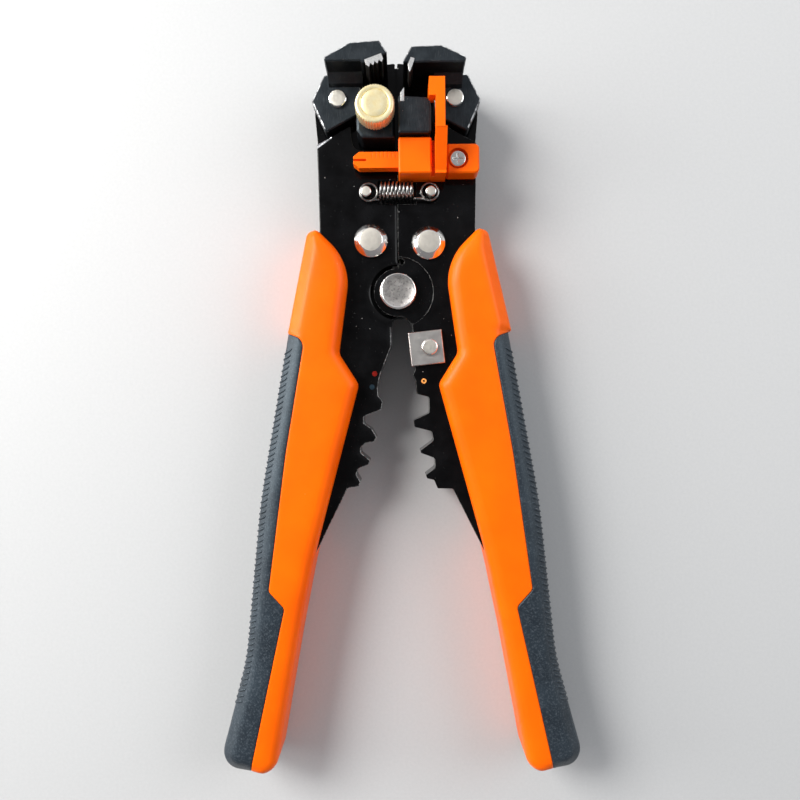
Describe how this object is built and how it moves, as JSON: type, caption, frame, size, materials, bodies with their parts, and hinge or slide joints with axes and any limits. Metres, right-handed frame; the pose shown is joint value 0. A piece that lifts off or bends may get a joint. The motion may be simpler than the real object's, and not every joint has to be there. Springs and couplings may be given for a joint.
{
  "type": "wire stripper",
  "caption": "Self-adjusting wire stripper, cutter and crimper: sprung black levers, pinned gripping and stripping jaws, length stop, orange and black grips.",
  "frame": {"origin": "bottom centre of the bounding box, on the plane that the backs of the grips rest on", "axes": "+Y along the tool towards its jaws, +Z out of the front face, +X to the right seen from the front with the jaws up"},
  "size_m": [0.1016, 0.2036, 0.029],
  "materials": {
    "steel_black": "gloss black paint",
    "casting": "matte dark grey",
    "nickel": "bright nickel plate",
    "bright_steel": "ground",
    "satin_steel": "satin",
    "link_steel": "plain",
    "brass": "turned and knurled",
    "spring_steel": "oiled",
    "orange_plastic": "semi-gloss",
    "black_rubber": "matte, ribbed",
    "red_paint": "paint",
    "blue_paint": "paint",
    "orange_paint": "paint"
  },
  "bodies": {
    "right_lever": {"right_front_plate": "steel_black", "right_back_plate": "steel_black", "right_head_spacer": "steel_black", "right_handle_spacer": "steel_black", "main_pivot_rivet": "nickel", "right_frame_rivet": "nickel", "right_spring_post": "nickel", "right_jaw_pin": "nickel", "right_inner_block": "casting", "lower_stripping_blade": "bright_steel", "stop_bracket": "orange_plastic", "bracket_screw": "satin_steel", "cutter_plate": "satin_steel", "cutter_screw": "satin_steel", "orange_crimp_mark": "orange_paint", "right_grip_shell": "orange_plastic", "right_grip_cover": "black_rubber", "left_link_foot_pin": "steel_black", "tension_spring": "spring_steel"},
    "left_lever": {"left_front_plate": "steel_black", "left_back_plate": "steel_black", "left_head_spacer": "steel_black", "left_handle_spacer": "steel_black", "left_frame_rivet": "nickel", "left_spring_post": "nickel", "left_jaw_pin": "nickel", "left_inner_block": "casting", "lower_gripping_pad": "bright_steel", "adjuster_stud": "satin_steel", "red_crimp_mark": "red_paint", "blue_crimp_mark": "blue_paint", "left_grip_shell": "orange_plastic", "left_grip_cover": "black_rubber", "right_link_foot_pin": "steel_black"},
    "left_jaw": {"left_outer_jaw": "casting", "upper_gripping_pad": "bright_steel", "left_link_top_pin": "steel_black"},
    "right_jaw": {"right_outer_jaw": "casting", "upper_stripping_blade": "bright_steel", "right_link_top_pin": "steel_black"},
    "left_link_bar": {"left_link": "steel_black"},
    "right_link_bar": {"right_link": "steel_black"},
    "knob": {"adjuster_knob": "brass"},
    "slider": {"stop_slider": "orange_plastic"}
  },
  "joints": [
    {"name": "lever_squeeze", "type": "hinge", "parent": "right_lever", "child": "left_lever", "pos_m": [0, 0.03481, 0.01], "axis": [0, 0, 1], "range_deg": [0, 20.5], "stiffness_Nm_per_rad": 0.5, "springref_deg": -11.46, "deforming": ["tension_spring"]},
    {"name": "left_jaw_close", "type": "hinge", "parent": "left_lever", "child": "left_jaw", "pos_m": [-0.0166, 0.08931, 0.014], "axis": [0, 0, 1], "range_deg": [-20.5, 0]},
    {"name": "right_jaw_close", "type": "hinge", "parent": "right_lever", "child": "right_jaw", "pos_m": [0.0166, 0.08931, 0.014], "axis": [0, 0, 1], "range_deg": [0, 20.5]},
    {"name": "left_link_turn", "type": "hinge", "parent": "right_lever", "child": "left_link_bar", "pos_m": [-0.0032, 0.03061, 0.01], "axis": [0, 0, 1], "range_deg": [0, 20.5]},
    {"name": "right_link_turn", "type": "hinge", "parent": "left_lever", "child": "right_link_bar", "pos_m": [0.0032, 0.03061, 0.01], "axis": [0, 0, 1], "range_deg": [-20.5, 0]},
    {"name": "knob_turn", "type": "hinge", "parent": "left_lever", "child": "knob", "pos_m": [-0.0058, 0.08321, 0.027], "axis": [0, 0, 1], "range_deg": [-180, 180]},
    {"name": "stop_slide", "type": "slide", "parent": "right_lever", "child": "slider", "axis": [-1, 0, 0], "range_m": [0, 0.004]}
  ],
  "couplings": [
    {"joint": "left_jaw_close", "follows": "lever_squeeze", "ratio": -1},
    {"joint": "right_jaw_close", "follows": "lever_squeeze", "ratio": 1},
    {"joint": "left_link_turn", "follows": "lever_squeeze", "ratio": 1},
    {"joint": "right_link_turn", "follows": "lever_squeeze", "ratio": -1}
  ]
}
